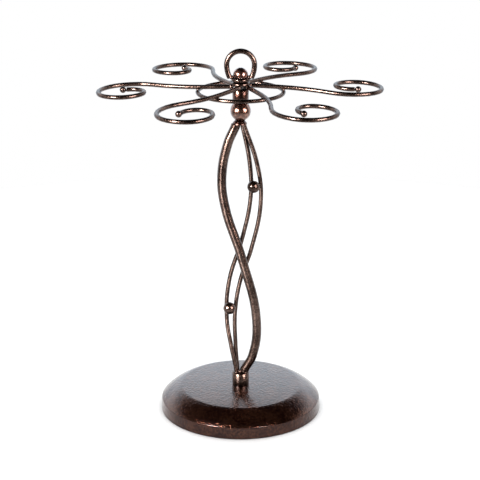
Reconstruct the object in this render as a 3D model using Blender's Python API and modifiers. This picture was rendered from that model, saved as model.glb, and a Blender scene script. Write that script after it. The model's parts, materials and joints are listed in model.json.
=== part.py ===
"""Stemware tree: a round weighted base, a stem of three bent rods and a turning head with six
open curled rings, closed by a ball nut.

Run with: blender --background --python part.py
Origin: centre of the base's underside. +Z up, arms 1 and 4 along +X and -X. Sizes are written in
millimetres and turned into metres by MM.
"""

import bpy
import bmesh
import math
from mathutils import Vector

MM = 0.001
GAP = 0.3 * MM                      # space left between touching pieces

# ---- driving dimensions -------------------------------------------------------------------------
OVERALL_WIDTH = 260.35 * MM         # 10.25 in, ring to opposite ring
OVERALL_HEIGHT = 349.25 * MM        # 13.75 in, table to loop top
BASE_DIAMETER = 152.4 * MM          # 6 in

# base
WALL_TOP_RADIUS = 75.6 * MM         # the side wall leans in a little from foot to rim
WALL_TOP_Z = 11.0 * MM
PLATEAU_RADIUS = 57.3 * MM
PLATEAU_Z = 22.8 * MM
SHELL = 1.5 * MM
RIM_ROUND = 1.3 * MM
RIM_INSET = 0.39 * MM               # from the wall's top to the end of the shoulder
CREASE = 1.6 * MM                   # width of the soft edge round the plateau
SHOULDER_START = math.radians(18)   # slope of the shoulder at the plateau
SHOULDER_END = math.radians(47)     # and at the rim
COVER_FOOT_Z = 0.5 * MM
PAD_THICKNESS = 1.8 * MM
PAD_RADIUS = 73.4 * MM
WEIGHT_RADIUS = 71.0 * MM
WEIGHT_TOP_Z = 8.2 * MM
WEIGHT_BEVEL = 1.0 * MM
BOSS_RADIUS = 12.0 * MM
BOSS_FLARE = 1.5 * MM

# fixings on the axis
SCREW_RADIUS = 2.9 * MM
CLEARANCE_HOLE = 3.3 * MM           # radius of every hole for the screw or the stud
SCREW_HEAD_RADIUS = 5.0 * MM
SCREW_HEAD_BEVEL = 0.5 * MM
THREAD_BEVEL = 0.6 * MM             # broken edge at the tip of the screw and the stud
TIP_CLEARANCE = 0.8 * MM            # between a tip and the end of its blind hole
SCREW_WASHER_RADIUS = 8.6 * MM
SCREW_WASHER_THICKNESS = 1.2 * MM
COUNTERBORE_RADIUS = 9.6 * MM
COUNTERBORE_Z = 6.4 * MM

# stem
POST_RADIUS = 7.9 * MM
POST_TOP_Z = 35.4 * MM
POST_EDGE = 0.6 * MM
POST_ROOF = 3.6 * MM                # solid metal above the blind hole
POST_WELD_RADIUS = 1.7 * MM
POST_WELD_PLACE = (-0.7 * MM, -4.9 * MM)
THICK_ROD_RADIUS = 4.3 * MM
THIN_ROD_RADIUS = 2.05 * MM
ROD_END_PULL = 3.5 * MM             # how long a rod stays upright at its ends
STEM_BEAD_RADIUS = 5.8 * MM
UPPER_BEAD_PLACE = (11.8 * MM, -3.85 * MM, 221.1 * MM)
LOWER_BEAD_PLACE = (-10.5 * MM, -2.9 * MM, 101.3 * MM)
NECK_BOTTOM_Z = 280.0 * MM
NECK_BOTTOM_RADIUS = 6.6 * MM
NECK_TOP_RADIUS = 4.4 * MM
NECK_EDGE = 1.0 * MM
NECK_SHIFT = -0.8 * MM              # the rods meet a little to the left of the axis
BALL_RADIUS = 9.5 * MM
BALL_CENTRE_Z = 292.0 * MM
BALL_FLAT_TOP = 7.4 * MM            # flats above and below the ball's centre
BALL_FLAT_BOTTOM = -8.5 * MM
BALL_SOCKET = -3.0 * MM             # bottom of the stud's hole, from the ball's centre
TUBE_RADIUS = 7.4 * MM
TUBE_TOP_Z = 312.2 * MM
TUBE_EDGE = 0.5 * MM

# head
ARM_RADIUS = 2.1 * MM
ARM_ROOT_Z = 315.2 * MM             # height of the arm wires at the hub
ARM_COUNT = 6
ARM_DROOP = math.radians(1.95)      # each arm falls this much below level
ARM_START = Vector((8.95 * MM, 2.8 * MM))
ARM_START_HEADING = math.radians(-3.7)
# bends of one arm from hub to tip: (radius in mm, turn in degrees, anticlockwise positive)
ARM_BENDS = ((415.0, -3.6), (110.7, -24.9), (33.7, 62.8), (27.0, 88.9), (21.2, 114.6), (13.9, 137.0))
LONGEST_STEP = 13.8 * MM            # coarsest facets allowed along an arm
SHARPEST_STEP = math.radians(14)
TIP_BEAD_RADIUS = 3.0 * MM
HUB_DISC_RADIUS = 8.5 * MM
HUB_DISC_BOTTOM_Z = 315.6 * MM
HUB_DISC_EDGE = 0.5 * MM
SPACER_RADIUS = 5.6 * MM
SUPPORT_RING_RADIUS = 39.0 * MM
SUPPORT_WIRE_RADIUS = 1.9 * MM

# loop handle and ball nut
LOOP_WIRE_RADIUS = 2.4 * MM
LOOP_RADIUS = 12.55 * MM            # centre line of the round top
LOOP_LEG_DROP = 18.7 * MM           # lower half is an ellipse this tall
LOOP_FOOT_Z = 322.4 * MM             # where the legs end, beside the collar
COLLAR_WIRE_RADIUS = 2.25 * MM
COLLAR_RADIUS = 6.2 * MM            # centre line of the collar's wire
COLLAR_Z = 321.0 * MM
FINIAL_RADIUS = 6.8 * MM
FINIAL_CENTRE_Z = 325.2 * MM
STUD_ABOVE_CENTRE = 0.7 * MM        # the stud's tip, above the centre of the ball nut


# ---- scene and materials ------------------------------------------------------------------------
def clear_scene():
    for obj in list(bpy.data.objects):
        bpy.data.objects.remove(obj, do_unlink=True)


def new_collection(name):
    collection = bpy.data.collections.new(name)
    bpy.context.scene.collection.children.link(collection)
    return collection


def new_material(name, colour, roughness, metallic):
    material = bpy.data.materials.new(name)
    material.use_nodes = True
    shader = material.node_tree.nodes["Principled BSDF"]
    shader.inputs["Base Color"].default_value = (*colour, 1.0)
    shader.inputs["Roughness"].default_value = roughness
    shader.inputs["Metallic"].default_value = metallic
    material.diffuse_color = (*colour, 1.0)
    return material


clear_scene()
TREE = new_collection("stemware_tree")

BRONZE = new_material("bronze_hammered", (0.060, 0.032, 0.024), 0.28, 0.75)
BRONZE_BALL = new_material("bronze_ball", (0.120, 0.048, 0.030), 0.22, 0.85)
BLACK_NYLON = new_material("black_nylon", (0.010, 0.010, 0.010), 0.50, 0.0)
ZINC = new_material("zinc_steel", (0.550, 0.550, 0.530), 0.35, 1.0)
IRON = new_material("cast_iron", (0.050, 0.050, 0.052), 0.70, 0.6)
PAD_FOAM = new_material("pad_foam", (0.018, 0.018, 0.018), 0.95, 0.0)


# ---- shape helpers ------------------------------------------------------------------------------
def add_object(name, data, material, location=(0.0, 0.0, 0.0), parent=None):
    obj = bpy.data.objects.new(name, data)
    obj.location = location
    obj.parent = parent
    if not data.materials:
        data.materials.append(material)
    TREE.objects.link(obj)
    return obj


def add_frame(name, location):
    """An empty on a turning axis, the parent of what turns there."""
    empty = bpy.data.objects.new(name, None)
    empty.location = location
    TREE.objects.link(empty)
    return empty


def turned(name, profile, material, steps=32, location=(0.0, 0.0, 0.0), parent=None, closed=False):
    """A profile of (radius, height) points, outer side from top to bottom, turned about Z."""
    mesh = bpy.data.meshes.new(name)
    edges = [(i, i + 1) for i in range(len(profile) - 1)]
    if closed:
        edges.append((len(profile) - 1, 0))
    mesh.from_pydata([(radius, 0.0, height) for radius, height in profile], edges, [])
    obj = add_object(name, mesh, material, location, parent)
    screw = obj.modifiers.new("turn", "SCREW")
    screw.axis = "Z"
    screw.steps = steps
    screw.render_steps = steps
    screw.use_merge_vertices = True
    screw.merge_threshold = 0.00005
    screw.use_smooth_shade = True


def arc(centre, radius, start, end, count):
    """count + 1 points (radius, height) from angle start to angle end, measured from the +X side."""
    points = []
    for i in range(count + 1):
        angle = start + (end - start) * i / count
        points.append((centre[0] + radius * math.cos(angle), centre[1] + radius * math.sin(angle)))
    return points


def sphere_mesh(name, radius, segments):
    mesh = bpy.data.meshes.new(name)
    shape = bmesh.new()
    bmesh.ops.create_uvsphere(shape, u_segments=segments, v_segments=segments // 2 + 1, radius=radius)
    shape.to_mesh(mesh)
    shape.free()
    mesh.shade_smooth()
    return mesh


def wire_curve(name, radius):
    curve = bpy.data.curves.new(name, "CURVE")
    curve.dimensions = "3D"
    curve.bevel_depth = radius
    curve.bevel_resolution = 2
    curve.use_fill_caps = True
    return curve


def poly_wire(name, points, radius, cyclic=False):
    """Curve data for a bent wire through points that are already close together."""
    curve = wire_curve(name, radius)
    spline = curve.splines.new("POLY")
    spline.points.add(len(points) - 1)
    for spline_point, point in zip(spline.points, points):
        spline_point.co = (*point, 1.0)
    spline.use_cyclic_u = cyclic
    spline.use_smooth = True
    return curve


def wire_ring(name, ring_radius, wire_radius, height, count, parent):
    """A closed round ring of wire, level with the table."""
    points = []
    for i in range(count):
        angle = 2 * math.pi * i / count
        points.append(Vector((ring_radius * math.cos(angle), ring_radius * math.sin(angle), height)))
    data = poly_wire(name, points, wire_radius, cyclic=True)
    add_object(name, data, BRONZE, parent=parent)


def rod(name, stations, radius, end_pull):
    """A rod bent smoothly through a few stations in millimetres, upright at both ends."""
    curve = wire_curve(name, radius)
    curve.resolution_u = 6
    spline = curve.splines.new("BEZIER")
    spline.bezier_points.add(len(stations) - 1)
    for point, station in zip(spline.bezier_points, stations):
        point.co = Vector(station) * MM
        point.handle_left_type = "AUTO"
        point.handle_right_type = "AUTO"
    for point in (spline.bezier_points[0], spline.bezier_points[-1]):
        point.handle_left_type = "FREE"
        point.handle_right_type = "FREE"
        point.handle_left = point.co - Vector((0.0, 0.0, end_pull))
        point.handle_right = point.co + Vector((0.0, 0.0, end_pull))
    add_object(name, curve, BRONZE)


def washer(name, radius, bottom, top, material, steps=32, edge=0.3 * MM, parent=None):
    """A flat ring with a hole for the screw or the stud and broken outer edges."""
    profile = [
        (CLEARANCE_HOLE, top),
        (radius - edge, top),
        (radius, top - edge),
        (radius, bottom + edge),
        (radius - edge, bottom),
        (CLEARANCE_HOLE, bottom),
    ]
    turned(name, profile, material, steps, parent=parent, closed=True)


# ---- base ---------------------------------------------------------------------------------------
def shoulder_points(count):
    """The convex shoulder, an arc from the plateau's edge down to the rim."""
    turn = SHOULDER_END - SHOULDER_START
    width = WALL_TOP_RADIUS - RIM_INSET - PLATEAU_RADIUS
    radius = width / (math.sin(SHOULDER_END) - math.sin(SHOULDER_START))
    centre = (
        PLATEAU_RADIUS - radius * math.sin(SHOULDER_START),
        PLATEAU_Z - radius * math.cos(SHOULDER_START),
    )
    start = math.pi / 2 - SHOULDER_START
    return arc(centre, radius, start, start - turn, count)


def base_cover():
    """Pressed steel skin: plateau, convex shoulder, rounded rim and a wall that flares to its foot."""
    shoulder = shoulder_points(6)
    rim_radius, rim_z = shoulder[-1]
    base_radius = BASE_DIAMETER / 2
    wall_lean = math.atan2(base_radius - WALL_TOP_RADIUS, WALL_TOP_Z)
    rim_centre = (
        rim_radius - RIM_ROUND * math.sin(SHOULDER_END),
        rim_z - RIM_ROUND * math.cos(SHOULDER_END),
    )
    rim = arc(rim_centre, RIM_ROUND, math.pi / 2 - SHOULDER_END, wall_lean, 3)
    crease_end = (PLATEAU_RADIUS + CREASE / 8, PLATEAU_Z - CREASE / 10)
    outer = [(CLEARANCE_HOLE, PLATEAU_Z), (PLATEAU_RADIUS - CREASE, PLATEAU_Z), crease_end]
    outer += shoulder[1:] + rim[1:]
    outer.append((base_radius, COVER_FOOT_Z))
    middle_radius, middle_z = shoulder[len(shoulder) // 2]
    inner = [
        (base_radius - SHELL, COVER_FOOT_Z),
        (WALL_TOP_RADIUS - SHELL, rim_centre[1] - SHELL / 5),
        (middle_radius - SHELL / 2, middle_z - SHELL * 1.25),
        (PLATEAU_RADIUS - SHELL / 2, PLATEAU_Z - SHELL),
        (CLEARANCE_HOLE, PLATEAU_Z - SHELL),
    ]
    turned("base_cover", outer + inner, BRONZE, steps=64, closed=True)


def base_weight():
    """Cast disc under the skin, with a boss up to the plateau and a counterbore for the screw."""
    boss_top = PLATEAU_Z - SHELL - GAP
    bottom = PAD_THICKNESS + GAP
    profile = [
        (CLEARANCE_HOLE, boss_top),
        (BOSS_RADIUS, boss_top),
        (BOSS_RADIUS + BOSS_FLARE, WEIGHT_TOP_Z),
        (WEIGHT_RADIUS - WEIGHT_BEVEL, WEIGHT_TOP_Z),
        (WEIGHT_RADIUS, WEIGHT_TOP_Z - WEIGHT_BEVEL),
        (WEIGHT_RADIUS, bottom),
        (COUNTERBORE_RADIUS, bottom),
        (COUNTERBORE_RADIUS, COUNTERBORE_Z),
        (CLEARANCE_HOLE, COUNTERBORE_Z),
    ]
    turned("base_weight", profile, IRON, steps=32, closed=True)


def base_pad():
    mesh = bpy.data.meshes.new("base_pad")
    shape = bmesh.new()
    bmesh.ops.create_cone(shape, cap_ends=True, segments=64, radius1=PAD_RADIUS, radius2=PAD_RADIUS,
                          depth=PAD_THICKNESS)
    shape.to_mesh(mesh)
    shape.free()
    mesh.shade_smooth()
    mesh.set_sharp_from_angle(angle=math.radians(40))
    add_object("base_pad", mesh, PAD_FOAM, (0.0, 0.0, PAD_THICKNESS / 2))


def base_screw():
    """Screw from below, through washer, weight and skin, up into the post."""
    washer_top = COUNTERBORE_Z - GAP
    washer_bottom = washer_top - SCREW_WASHER_THICKNESS
    washer("base_screw_washer", SCREW_WASHER_RADIUS, washer_bottom, washer_top, ZINC, steps=20)
    head_top = washer_bottom - GAP
    head_bottom = PAD_THICKNESS + GAP
    tip_z = POST_TOP_Z - POST_ROOF - TIP_CLEARANCE
    profile = [
        (0.0, tip_z),
        (SCREW_RADIUS - THREAD_BEVEL, tip_z),
        (SCREW_RADIUS, tip_z - THREAD_BEVEL),
        (SCREW_RADIUS, head_top),
        (SCREW_HEAD_RADIUS, head_top),
        (SCREW_HEAD_RADIUS, head_bottom + SCREW_HEAD_BEVEL),
        (SCREW_HEAD_RADIUS - SCREW_HEAD_BEVEL, head_bottom),
        (0.0, head_bottom),
    ]
    turned("base_screw", profile, ZINC, steps=20)


# ---- stem ---------------------------------------------------------------------------------------
def stem_post():
    """Short socket on the plateau, bored from below for the screw."""
    bottom = PLATEAU_Z + GAP
    bore_top = POST_TOP_Z - POST_ROOF
    profile = [
        (0.0, POST_TOP_Z),
        (POST_RADIUS - POST_EDGE, POST_TOP_Z),
        (POST_RADIUS, POST_TOP_Z - POST_EDGE),
        (POST_RADIUS, bottom),
        (CLEARANCE_HOLE, bottom),
        (CLEARANCE_HOLE, bore_top),
        (0.0, bore_top),
    ]
    turned("stem_post", profile, BRONZE, steps=24)
    weld_z = POST_TOP_Z + GAP + POST_WELD_RADIUS
    weld = sphere_mesh("post_weld", POST_WELD_RADIUS, segments=12)
    add_object("post_weld", weld, BRONZE, (*POST_WELD_PLACE, weld_z))


def stem_rods():
    """One thick rod in front and two thin rods behind it, each an S from the post to the neck."""
    foot = (POST_TOP_Z + GAP) / MM
    top = (NECK_BOTTOM_Z - GAP) / MM
    thick = (
        (3.4, 0.1, foot), (11.2, -1.4, 52.0), (15.2, -2.8, 87.2), (1.3, -3.7, 151.0),
        (-14.9, -3.1, 204.0), (-17.2, -2.6, 232.0), (-11.5, -1.3, 262.0), (-4.3, -0.7, top),
    )
    rod("stem_rod_thick", thick, THICK_ROD_RADIUS, ROD_END_PULL)
    thin_right = (
        (-3.1, 2.5, foot), (-4.9, 2.6, 64.0), (-5.2, 3.0, 96.0), (0.6, 3.3, 130.5), (9.6, 3.2, 157.0),
        (18.9, 2.4, 209.0), (14.6, 1.2, 244.0), (3.2, -1.9, top),
    )
    rod("stem_rod_thin_1", thin_right, THIN_ROD_RADIUS, ROD_END_PULL)
    thin_left = (
        (-3.8, -2.2, foot), (-9.0, 0.0, 62.0), (-13.1, 4.2, 88.0), (-10.8, 5.4, 126.0),
        (1.4, 4.4, 168.0), (9.4, 4.0, 210.0), (8.2, 3.6, 244.0), (1.5, 2.9, top),
    )
    rod("stem_rod_thin_2", thin_left, THIN_ROD_RADIUS, ROD_END_PULL)


def stem_beads():
    """Ball beads welded in front of the pair of thin rods, one in each bend."""
    bead = sphere_mesh("stem_bead", STEM_BEAD_RADIUS, segments=20)
    add_object("stem_bead_upper", bead, BRONZE, UPPER_BEAD_PLACE)
    add_object("stem_bead_lower", bead, BRONZE, LOWER_BEAD_PLACE)


def stem_top():
    """Neck, ball, tube, spacer and the stud that the head turns on."""
    neck_top = BALL_CENTRE_Z + BALL_FLAT_BOTTOM - GAP
    neck = [
        (0.0, neck_top),
        (NECK_TOP_RADIUS, neck_top),
        (NECK_BOTTOM_RADIUS - NECK_EDGE / 5, NECK_BOTTOM_Z + NECK_EDGE),
        (NECK_BOTTOM_RADIUS, NECK_BOTTOM_Z),
        (0.0, NECK_BOTTOM_Z),
    ]
    turned("stem_neck", neck, BRONZE, steps=20, location=(NECK_SHIFT, 0.0, 0.0))

    start = math.asin(BALL_FLAT_TOP / BALL_RADIUS)
    end = math.asin(BALL_FLAT_BOTTOM / BALL_RADIUS)
    skin = arc((0.0, 0.0), BALL_RADIUS, start, end, 10)
    ball = [(0.0, BALL_SOCKET), (CLEARANCE_HOLE, BALL_SOCKET), (CLEARANCE_HOLE, skin[0][1])] + skin
    ball.append((0.0, skin[-1][1]))
    turned("stem_ball", ball, BRONZE_BALL, steps=28, location=(0.0, 0.0, BALL_CENTRE_Z))

    tube_bottom = BALL_CENTRE_Z + BALL_FLAT_TOP + GAP
    washer("stem_tube", TUBE_RADIUS, tube_bottom, TUBE_TOP_Z, BRONZE, steps=24, edge=TUBE_EDGE)
    spacer_bottom = TUBE_TOP_Z + GAP
    spacer_top = HUB_DISC_BOTTOM_Z - GAP
    washer("spacer_washer", SPACER_RADIUS, spacer_bottom, spacer_top, BLACK_NYLON, steps=20)

    stud_bottom = BALL_CENTRE_Z + BALL_SOCKET + GAP
    stud_top = FINIAL_CENTRE_Z + STUD_ABOVE_CENTRE
    stud = [
        (0.0, stud_top),
        (SCREW_RADIUS - THREAD_BEVEL, stud_top),
        (SCREW_RADIUS, stud_top - THREAD_BEVEL),
        (SCREW_RADIUS, stud_bottom),
        (0.0, stud_bottom),
    ]
    turned("stem_stud", stud, ZINC, steps=20)


# ---- head ---------------------------------------------------------------------------------------
def arm_path():
    """Points along one arm in its own plane, hub at the origin, leaving along +X."""
    position = ARM_START.copy()
    heading = ARM_START_HEADING
    points = [position.copy()]
    for radius_mm, turn_degrees in ARM_BENDS:
        radius = radius_mm * MM
        turn = math.radians(turn_degrees)
        length = radius * abs(turn)
        count = max(math.ceil(abs(turn) / SHARPEST_STEP), math.ceil(length / LONGEST_STEP))
        for _ in range(count):
            half = turn / count / 2
            chord = 2 * radius * math.sin(abs(half))
            heading += half
            position = position + Vector((math.cos(heading), math.sin(heading))) * chord
            heading += half
            points.append(position.copy())
    reach = max(point.x for point in points)
    wanted = OVERALL_WIDTH / 2 / math.cos(ARM_DROOP) - ARM_RADIUS
    spread = (wanted - ARM_START.x) / (reach - ARM_START.x)
    return [Vector((ARM_START.x + (p.x - ARM_START.x) * spread, p.y * spread, 0.0)) for p in points]


def arms(parent):
    """Six equal arms, each a bent wire that curls into an open ring round its own tip bead."""
    path = arm_path()
    data = poly_wire("arm_wire", path, ARM_RADIUS)
    inward = (path[-1] - path[-2]).normalized()
    bead_centre = path[-1] + inward * (TIP_BEAD_RADIUS + GAP)
    bead_shape = sphere_mesh("arm_bead", TIP_BEAD_RADIUS, segments=12)
    for i in range(ARM_COUNT):
        arm = add_object(f"arm_{i + 1}", data, BRONZE, parent=parent)
        arm.rotation_euler = (0.0, ARM_DROOP, i * 2 * math.pi / ARM_COUNT)
        add_object(f"arm_bead_{i + 1}", bead_shape, BRONZE, bead_centre, arm)


def support_ring(parent):
    """Plain ring under the arms, just below the wires it carries."""
    drop = SUPPORT_RING_RADIUS * math.sin(ARM_DROOP) + ARM_RADIUS + GAP + SUPPORT_WIRE_RADIUS
    wire_ring("support_ring", SUPPORT_RING_RADIUS, SUPPORT_WIRE_RADIUS, -drop, 48, parent)


def loop_handle(parent):
    """Loop across the front: a half circle on top of two elliptical legs."""
    centre_z = OVERALL_HEIGHT - LOOP_WIRE_RADIUS - LOOP_RADIUS
    foot_angle = math.asin((centre_z - LOOP_FOOT_Z) / LOOP_LEG_DROP)
    count = 30
    points = []
    for i in range(count + 1):
        angle = -foot_angle + (math.pi + 2 * foot_angle) * i / count
        height = LOOP_RADIUS if math.sin(angle) > 0 else LOOP_LEG_DROP
        z = centre_z + height * math.sin(angle) - ARM_ROOT_Z
        points.append(Vector((LOOP_RADIUS * math.cos(angle), 0.0, z)))
    data = poly_wire("loop_handle", points, LOOP_WIRE_RADIUS)
    add_object("loop_handle", data, BRONZE, parent=parent)


def hub_disc(parent):
    """Thick disc that the arms are welded round."""
    bottom = HUB_DISC_BOTTOM_Z - ARM_ROOT_Z
    top = COLLAR_Z - COLLAR_WIRE_RADIUS - GAP - ARM_ROOT_Z
    washer("hub_disc", HUB_DISC_RADIUS, bottom, top, BRONZE, edge=HUB_DISC_EDGE, parent=parent)


def handle_collar(parent):
    """Wire eye round the stud, between the hub and the ball nut, that the loop's legs are welded to."""
    wire_ring("handle_collar", COLLAR_RADIUS, COLLAR_WIRE_RADIUS, COLLAR_Z - ARM_ROOT_Z, 32, parent)


def head():
    """Everything that turns on the stud, carried by one empty on its axis."""
    frame = add_frame("head_frame", (0.0, 0.0, ARM_ROOT_Z))
    arms(frame)
    support_ring(frame)
    hub_disc(frame)
    handle_collar(frame)
    loop_handle(frame)


def finial():
    """Ball nut on the end of the stud."""
    frame = add_frame("finial_frame", (0.0, 0.0, FINIAL_CENTRE_Z))
    bottom = COLLAR_Z + COLLAR_WIRE_RADIUS + GAP - FINIAL_CENTRE_Z
    end = math.asin(bottom / FINIAL_RADIUS)
    skin = arc((0.0, 0.0), FINIAL_RADIUS, math.pi / 2, end, 9)
    skin[0] = (0.0, FINIAL_RADIUS)
    bore_top = STUD_ABOVE_CENTRE + TIP_CLEARANCE
    profile = skin + [(CLEARANCE_HOLE, bottom), (CLEARANCE_HOLE, bore_top), (0.0, bore_top)]
    turned("finial_nut", profile, BRONZE_BALL, steps=24, parent=frame)


base_cover()
base_weight()
base_pad()
base_screw()
stem_post()
stem_rods()
stem_beads()
stem_top()
head()
finial()
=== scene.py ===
import bmesh
import bpy
import json
import math
from mathutils import Matrix, Vector
from mathutils.bvhtree import BVHTree


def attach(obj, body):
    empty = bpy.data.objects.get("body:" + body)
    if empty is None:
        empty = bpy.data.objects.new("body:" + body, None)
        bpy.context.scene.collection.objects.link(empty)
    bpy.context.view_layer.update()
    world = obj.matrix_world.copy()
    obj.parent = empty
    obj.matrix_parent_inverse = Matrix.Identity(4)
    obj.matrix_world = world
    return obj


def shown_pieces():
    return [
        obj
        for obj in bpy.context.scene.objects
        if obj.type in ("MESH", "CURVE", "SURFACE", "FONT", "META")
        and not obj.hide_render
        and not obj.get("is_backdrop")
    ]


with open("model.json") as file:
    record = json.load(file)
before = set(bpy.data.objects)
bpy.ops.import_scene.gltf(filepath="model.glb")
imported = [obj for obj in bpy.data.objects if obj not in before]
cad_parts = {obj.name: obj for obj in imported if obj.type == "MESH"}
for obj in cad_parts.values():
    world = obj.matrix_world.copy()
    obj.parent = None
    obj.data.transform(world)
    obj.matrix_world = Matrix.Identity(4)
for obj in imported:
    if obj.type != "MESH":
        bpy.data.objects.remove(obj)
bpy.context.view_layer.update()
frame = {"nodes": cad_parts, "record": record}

NODES = frame["nodes"]

# ---- camera: fitted to the base, the support ring and the loop ----------------------------------
CAMERA_HEIGHT = 0.6284
CAMERA_DISTANCE = 1.3776
CAMERA_PITCH = math.radians(18.47)
FOCAL_PX = 1557.0
IMAGE_PX = 480
SENSOR_MM = 36.0
AXIS_OFFSET_PX = 0.6

# ---- studio: the world's brightness by direction, and the lights --------------------------------
WHITE = (1.0, 1.0, 1.0)
WARM_PINK = (1.0, 0.90, 0.88)
WALL_BLUE = (0.745, 0.885, 1.0)
WALL_BRIGHTNESS = 2.56
FLOOR_RADIUS = 0.8
FLOOR_COLOUR = (0.92, 0.92, 0.92, 1.0)
LIGHT_DISTANCE = 1.5
LIGHT_CENTRE = Vector((0.0, 0.0, 0.25))
BASE_TARGET = (0.0, 0.0, 0.01)
STRIP_DISTANCE = 0.25
STRIP_TARGET = (0.0, 0.0, 0.13)
STRIP_WIDTH = 0.07
STRIP_HEIGHT = 0.26
OVERHEAD_PLACE = (0.0, 0.0, 2.2)
OVERHEAD_SIZE = 3.0

# ---- finish and meshes --------------------------------------------------------------------------
# the light tone is reached on the grain's high spots, where it is a painted glint
FLECK_SHARE = 0.3                       # how far the mean tone lies from the dark one to the light one
COAT_ROUGHNESS = 0.16
COAT_IOR = 1.5
MERGE_DISTANCE = 0.00002
CREASE_ANGLE = math.radians(50)

# ---- weld metal ---------------------------------------------------------------------------------
ARM_COUNT = 6
EDGE_STEPS = 6                          # samples along each edge when looking for a contact
ROD_END_DEPTH = 0.0001
ARM_END_DEPTH = 0.0004
FILLET_SPREAD = 0.0004
FILLET_HEIGHT = 0.0022
ROOT_SIZE = 0.0047
BEAD_WELD_SIZE = 0.0022
COLLAR_WELD_SIZE = 0.0040
RING_WELD_SIZE = 0.0022
TIP_WELD_SIZE = 0.0018


# ---- node helpers -------------------------------------------------------------------------------
def new_material(name):
    material = bpy.data.materials.new(name)
    material.use_nodes = True
    tree = material.node_tree
    return material, tree, tree.nodes["Principled BSDF"]


def add_node(tree, kind, inputs=None, **settings):
    node = tree.nodes.new(kind)
    for key, value in settings.items():
        setattr(node, key, value)
    for key, value in (inputs or {}).items():
        node.inputs[key].default_value = value
    return node


def ramp(tree, source, stops):
    node = tree.nodes.new("ShaderNodeValToRGB")
    elements = node.color_ramp.elements
    while len(elements) < len(stops):
        elements.new(0.5)
    for element, (position, colour) in zip(elements, stops):
        element.position = position
        element.color = (*colour, 1.0)
    tree.links.new(source, node.inputs["Fac"])
    return node.outputs["Color"]


def grey(value):
    return (value, value, value)


# ---- materials ----------------------------------------------------------------------------------
def hammered_bronze(name, dark, light, grain_mm, bump_mm, roughness, coat, metallic=1.0,
                    edge=1.0):
    """Powder coat over a hammered grain: shallow dimples whose high spots are painted paler copper as
    glints.
    """
    material, tree, shader = new_material(name)
    place = add_node(tree, "ShaderNodeTexCoord").outputs["Object"]
    cells = add_node(
        tree, "ShaderNodeTexVoronoi", {"Scale": 1000.0 / grain_mm, "Randomness": 1.0},
        feature="SMOOTH_F1")
    cells.inputs["Smoothness"].default_value = 0.6
    ripple = add_node(tree, "ShaderNodeTexNoise", {"Scale": 700.0 / grain_mm, "Detail": 3.0})
    patch = add_node(tree, "ShaderNodeTexNoise", {"Scale": 60.0, "Detail": 4.0, "Roughness": 0.6})
    for texture in (cells, ripple, patch):
        tree.links.new(place, texture.inputs["Vector"])
    mix = add_node(tree, "ShaderNodeMath", {1: 0.65}, operation="MULTIPLY")
    tree.links.new(cells.outputs["Distance"], mix.inputs[0])
    height = add_node(tree, "ShaderNodeMath", operation="ADD")
    tree.links.new(mix.outputs[0], height.inputs[0])
    tree.links.new(ripple.outputs["Fac"], height.inputs[1])
    # the grain's height also sets the colour: paler copper on the high spots is a painted glint
    painted_ridge_glint = add_node(tree, "ShaderNodeMath", {1: 0.5}, operation="MULTIPLY")
    tree.links.new(height.outputs[0], painted_ridge_glint.inputs[0])
    tint = add_node(tree, "ShaderNodeMath", {1: 0.55, 2: -0.10}, operation="MULTIPLY_ADD")
    tree.links.new(patch.outputs["Fac"], tint.inputs[0])
    colour_at = add_node(tree, "ShaderNodeMath", operation="ADD")
    tree.links.new(painted_ridge_glint.outputs[0], colour_at.inputs[0])
    tree.links.new(tint.outputs[0], colour_at.inputs[1])
    # tone follows the grain's height, paler on the high spots as a painted glint, and varies at random
    # in broad patches
    middle = tuple(a + FLECK_SHARE * (b - a) for a, b in zip(dark, light))
    colour = ramp(tree, colour_at.outputs[0], [(0.42, dark), (0.54, middle), (0.66, light)])
    tree.links.new(colour, shader.inputs["Base Color"])
    rough = ramp(
        tree, patch.outputs["Fac"], [(0.3, grey(roughness * 0.85)), (0.7, grey(roughness * 1.2))]
    )
    tree.links.new(rough, shader.inputs["Roughness"])
    bump = add_node(tree, "ShaderNodeBump", {"Strength": 0.9, "Distance": bump_mm / 1000})
    tree.links.new(height.outputs[0], bump.inputs["Height"])
    tree.links.new(bump.outputs["Normal"], shader.inputs["Normal"])
    shader.inputs["Metallic"].default_value = metallic
    shader.inputs["Specular Tint"].default_value = (edge, edge * 0.97, edge * 0.97, 1.0)
    shader.inputs["Coat Weight"].default_value = coat
    shader.inputs["Coat Roughness"].default_value = COAT_ROUGHNESS
    shader.inputs["Coat IOR"].default_value = COAT_IOR
    return material


def plain_metal(name, colour, roughness, metallic, grain_scale, bump_mm):
    material, tree, shader = new_material(name)
    place = add_node(tree, "ShaderNodeTexCoord").outputs["Object"]
    grain = add_node(tree, "ShaderNodeTexNoise", {"Scale": grain_scale, "Detail": 6.0})
    tree.links.new(place, grain.inputs["Vector"])
    low = tuple(c * 0.8 for c in colour)
    high = tuple(min(c * 1.2, 1.0) for c in colour)
    tree.links.new(ramp(tree, grain.outputs["Fac"], [(0.3, low), (0.7, high)]),
                   shader.inputs["Base Color"])
    rough = ramp(
        tree, grain.outputs["Fac"], [(0.3, grey(roughness * 0.85)), (0.7, grey(roughness * 1.15))]
    )
    tree.links.new(rough, shader.inputs["Roughness"])
    bump = add_node(tree, "ShaderNodeBump", {"Strength": 0.6, "Distance": bump_mm / 1000})
    tree.links.new(grain.outputs["Fac"], bump.inputs["Height"])
    tree.links.new(bump.outputs["Normal"], shader.inputs["Normal"])
    shader.inputs["Metallic"].default_value = metallic
    return material


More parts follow.
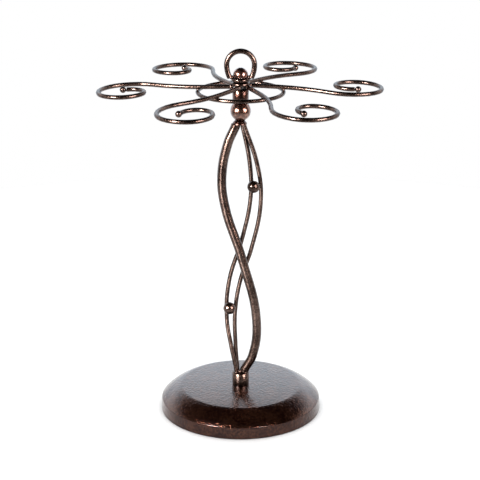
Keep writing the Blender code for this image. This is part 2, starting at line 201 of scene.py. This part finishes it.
WIRE_BRONZE = hammered_bronze(
    "wire_bronze", (0.018, 0.008, 0.005), (0.110, 0.070, 0.055),
    grain_mm=1.1, bump_mm=0.15, roughness=0.24, coat=0.25, edge=0.70)
BASE_BRONZE = hammered_bronze(
    "base_bronze", (0.014, 0.0015, 0.001), (0.064, 0.023, 0.012),
    grain_mm=1.5, bump_mm=0.38, roughness=0.10, coat=0.44, metallic=0.92)
BALL_BRONZE = hammered_bronze(
    "ball_bronze", (0.050, 0.018, 0.010), (0.250, 0.115, 0.080),
    grain_mm=2.2, bump_mm=0.22, roughness=0.22, coat=1.0)
TUBE_BRONZE = hammered_bronze(
    "tube_bronze", (0.018, 0.007, 0.005), (0.085, 0.038, 0.027),
    grain_mm=1.8, bump_mm=0.26, roughness=0.30, coat=0.25)
NYLON = plain_metal("nylon", (0.012, 0.012, 0.012), 0.5, 0.0, 900.0, 0.02)
ZINC = plain_metal("zinc", (0.55, 0.55, 0.53), 0.35, 1.0, 700.0, 0.02)
IRON = plain_metal("iron", (0.05, 0.05, 0.052), 0.7, 0.6, 500.0, 0.15)
FOAM = plain_metal("foam", (0.018, 0.018, 0.018), 0.95, 0.0, 1500.0, 0.15)

FINISH = {
    "bronze_hammered": WIRE_BRONZE,
    "bronze_ball": BALL_BRONZE,
    "black_nylon": NYLON,
    "zinc_steel": ZINC,
    "cast_iron": IRON,
    "pad_foam": FOAM,
}


def dress_nodes():
    """Every CAD node gets its slot's finish, welded faces and smooth shading with crisp edges."""
    for entry in frame["record"]["subparts"]:
        node = NODES[entry["node"]]
        material = FINISH[entry["material_slot"]]
        if entry["node"] == "base_cover":
            material = BASE_BRONZE
        if entry["node"] in ("stem_tube", "stem_neck"):
            material = TUBE_BRONZE
        node.data.materials.clear()
        node.data.materials.append(material)
        node.data.polygons.foreach_set("use_smooth", [True] * len(node.data.polygons))
        weld = node.modifiers.new("weld", "WELD")
        weld.merge_threshold = MERGE_DISTANCE
        split = node.modifiers.new("crisp_edges", "EDGE_SPLIT")
        split.split_angle = CREASE_ANGLE


# ---- weld blobs: the metal that fills the small gaps the CAD model keeps -------------------------
def corners(name):
    node = NODES[name]
    return [node.matrix_world @ vertex.co for vertex in node.data.vertices]


def samples(name):
    """Points all along the edges of a node, close enough to find where it touches a neighbour."""
    places = corners(name)
    points = []
    for edge in NODES[name].data.edges:
        start, end = (places[i] for i in edge.vertices)
        points.extend(start.lerp(end, step / EDGE_STEPS) for step in range(EDGE_STEPS))
    return points


def middle(points):
    return sum(points, Vector()) / len(points)


def weld(name, body, place, width, height):
    """A rounded blob of weld metal."""
    shape = bmesh.new()
    bmesh.ops.create_uvsphere(shape, u_segments=20, v_segments=12, radius=0.5)
    bmesh.ops.transform(shape, matrix=Matrix.Diagonal((width, width, height, 1.0)), verts=shape.verts)
    mesh = bpy.data.meshes.new(name)
    shape.to_mesh(mesh)
    shape.free()
    mesh.shade_smooth()
    mesh.materials.append(WIRE_BRONZE)
    blob = bpy.data.objects.new(name, mesh)
    blob.location = place
    bpy.context.scene.collection.objects.link(blob)
    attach(blob, body)


def weld_between(first, second, body, size, side=0):
    """A blob where two nodes come closest, on one side of the middle plane if side is -1 or 1."""
    mesh = NODES[second].data
    surface = BVHTree.FromPolygons(corners(second), [tuple(face.vertices) for face in mesh.polygons])
    closest = None
    for point in samples(first):
        if side * point.x < 0:
            continue
        found, _, _, distance = surface.find_nearest(point)
        if closest is None or distance < closest[0]:
            closest = (distance, (point + found) / 2)
    name = f"weld_{first}_{second}" + {-1: "_left", 0: "", 1: "_right"}[side]
    weld(name, body, closest[1], size, size)


def weld_rod_ends(name):
    """A low fillet round both ends of a stem rod."""
    points = corners(name)
    for end, level in (("foot", min(p.z for p in points)), ("top", max(p.z for p in points))):
        ring = [p for p in points if abs(p.z - level) < ROD_END_DEPTH]
        centre = middle(ring)
        radius = max((p - centre).length for p in ring)
        weld(f"weld_{name}_{end}", "stem", centre, 2 * radius + FILLET_SPREAD, FILLET_HEIGHT)


def weld_arm_root(index):
    """A fillet where an arm meets the hub's rim."""
    angle = 2 * math.pi * (index - 1) / ARM_COUNT
    outward = Vector((math.cos(angle), math.sin(angle), 0.0))
    points = corners(f"arm_{index}")
    start = min(p.dot(outward) for p in points)
    centre = middle([p for p in points if p.dot(outward) < start + ARM_END_DEPTH])
    weld(f"weld_arm_root_{index}", "head", centre - outward * ARM_END_DEPTH, ROOT_SIZE, ROOT_SIZE)


def add_welds():
    for rod in ("stem_rod_thick", "stem_rod_thin_1", "stem_rod_thin_2"):
        weld_rod_ends(rod)
    for bead in ("stem_bead_upper", "stem_bead_lower"):
        for rod in ("stem_rod_thin_1", "stem_rod_thin_2"):
            weld_between(bead, rod, "stem", BEAD_WELD_SIZE)
    for side in (-1, 1):
        weld_between("loop_handle", "handle_collar", "head", COLLAR_WELD_SIZE, side)
    for index in range(1, ARM_COUNT + 1):
        weld_arm_root(index)
        weld_between(f"arm_{index}", "support_ring", "head", RING_WELD_SIZE)
        weld_between(f"arm_{index}", f"arm_bead_{index}", "head", TIP_WELD_SIZE)


# ---- studio -------------------------------------------------------------------------------------
def make_camera():
    data = bpy.data.cameras.new("camera")
    data.sensor_width = SENSOR_MM
    data.lens = FOCAL_PX / IMAGE_PX * SENSOR_MM
    data.shift_x = -AXIS_OFFSET_PX / IMAGE_PX
    camera = bpy.data.objects.new("camera", data)
    camera.location = (0.0, -CAMERA_DISTANCE, CAMERA_HEIGHT)
    camera.rotation_euler = (math.pi / 2 - CAMERA_PITCH, 0.0, 0.0)
    bpy.context.scene.collection.objects.link(camera)
    bpy.context.scene.camera = camera


def make_floor():
    """A round white table top, large enough to fill the view under and behind the base."""
    bpy.ops.mesh.primitive_circle_add(vertices=96, radius=FLOOR_RADIUS, fill_type="NGON")
    floor = bpy.context.object
    floor.name = "floor"
    material, _, shader = new_material("floor_white")
    shader.inputs["Base Color"].default_value = FLOOR_COLOUR
    shader.inputs["Roughness"].default_value = 0.9
    shader.inputs["Specular IOR Level"].default_value = 0.0
    floor.data.materials.append(material)
    floor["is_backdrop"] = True


def area_light(name, location, target, size, power, colour=WHITE, glossy=True):
    data = bpy.data.lights.new(name, "AREA")
    data.shape = "DISK"
    data.size = size
    data.energy = power
    data.color = colour
    light = bpy.data.objects.new(name, data)
    light.location = location
    light.rotation_euler = (Vector(target) - Vector(location)).to_track_quat("-Z", "Y").to_euler()
    light.visible_glossy = glossy
    bpy.context.scene.collection.objects.link(light)
    return light


def light_only(light, pieces):
    """A flag in the studio: the light reaches these pieces and nothing else."""
    group = bpy.data.collections.new(f"lit_by_{light.name}")
    for piece in pieces:
        group.objects.link(piece)
    light.light_linking.receiver_collection = group


def polar(azimuth, elevation, distance):
    """A place round the upper stem: azimuth 0 is towards the camera, positive to the right."""
    a = math.radians(azimuth)
    e = math.radians(elevation)
    return LIGHT_CENTRE + distance * Vector(
        (math.sin(a) * math.cos(e), -math.cos(a) * math.cos(e), math.sin(e)))


def make_world():
    """White to the camera; to reflections, bright at the back, dim in front and dark above."""
    world = bpy.data.worlds.new("studio")
    world.use_nodes = True
    bpy.context.scene.world = world
    tree = world.node_tree
    background = tree.nodes["Background"]
    direction = add_node(tree, "ShaderNodeTexCoord").outputs["Generated"]
    axes = add_node(tree, "ShaderNodeSeparateXYZ")
    tree.links.new(direction, axes.inputs[0])
    up = ramp(tree, axes.outputs["Z"], CEILING_FADE)
    depth = add_node(tree, "ShaderNodeMapRange", {"From Min": -1.0, "From Max": 1.0})
    tree.links.new(axes.outputs["Y"], depth.inputs["Value"])
    back = ramp(tree, depth.outputs["Result"], WALL_FADE)
    walls = add_node(tree, "ShaderNodeMix", {"Factor": 1.0}, data_type="RGBA", blend_type="MULTIPLY")
    tree.links.new(up, walls.inputs[6])
    tree.links.new(back, walls.inputs[7])
    bright = add_node(tree, "ShaderNodeVectorMath", operation="SCALE")
    bright.inputs["Scale"].default_value = WALL_BRIGHTNESS
    tree.links.new(walls.outputs[2], bright.inputs[0])
    seen = add_node(tree, "ShaderNodeLightPath").outputs["Is Camera Ray"]
    pick = add_node(tree, "ShaderNodeMix", data_type="RGBA")
    tree.links.new(seen, pick.inputs[0])
    tree.links.new(bright.outputs[0], pick.inputs[6])
    pick.inputs[7].default_value = (1.0, 1.0, 1.0, 1.0)
    tree.links.new(pick.outputs[2], background.inputs["Color"])


# brightness by height of the direction, and by how far it points to the back
CEILING_FADE = [
    (0.0, grey(0.55)), (0.20, grey(0.60)), (0.29, grey(1.0)), (0.42, grey(1.0)), (0.62, grey(0.01)),
]
WALL_FADE = [(0.0, grey(0.04)), (0.42, grey(0.07)), (0.70, grey(1.0)), (1.0, WALL_BLUE)]


def light_upper_pieces(pieces):
    """Key and fill for all but the base's skin, which they would whiten."""
    key = area_light("key", polar(-45, 18, LIGHT_DISTANCE), LIGHT_CENTRE, 0.50, 90.0)
    fill = area_light("fill", polar(50, 16, LIGHT_DISTANCE), LIGHT_CENTRE, 0.80, 46.0, WARM_PINK)
    light_only(key, pieces)
    light_only(fill, pieces)


def light_base(base):
    left = area_light("rim_left", polar(-42, 27, LIGHT_DISTANCE), BASE_TARGET, 0.44, 60.0)
    right = area_light("rim_right", polar(34, 27, LIGHT_DISTANCE), BASE_TARGET, 0.36, 14.0)
    light_only(left, [base])
    light_only(right, [base])


def light_stem():
    """A small upright strip that lifts the rods and the post."""
    strip = area_light("strip", polar(-38, -29, STRIP_DISTANCE), STRIP_TARGET, STRIP_HEIGHT, 0.72)
    strip.data.shape = "RECTANGLE"
    strip.data.size = STRIP_WIDTH
    strip.data.size_y = STRIP_HEIGHT
    strip.visible_camera = False
    names = ("stem_rod_thick", "stem_rod_thin_1", "stem_rod_thin_2", "stem_post", "post_weld")
    light_only(strip, [NODES[name] for name in names])


def make_lights():
    base = NODES["base_cover"]
    light_upper_pieces([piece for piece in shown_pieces() if piece != base])
    light_base(base)
    light_stem()
    area_light("overhead", OVERHEAD_PLACE, (0, 0, 0), OVERHEAD_SIZE, 74.0, glossy=False)


bpy.context.scene.view_settings.view_transform = "Standard"
dress_nodes()
add_welds()
make_camera()
make_floor()
make_world()
make_lights()
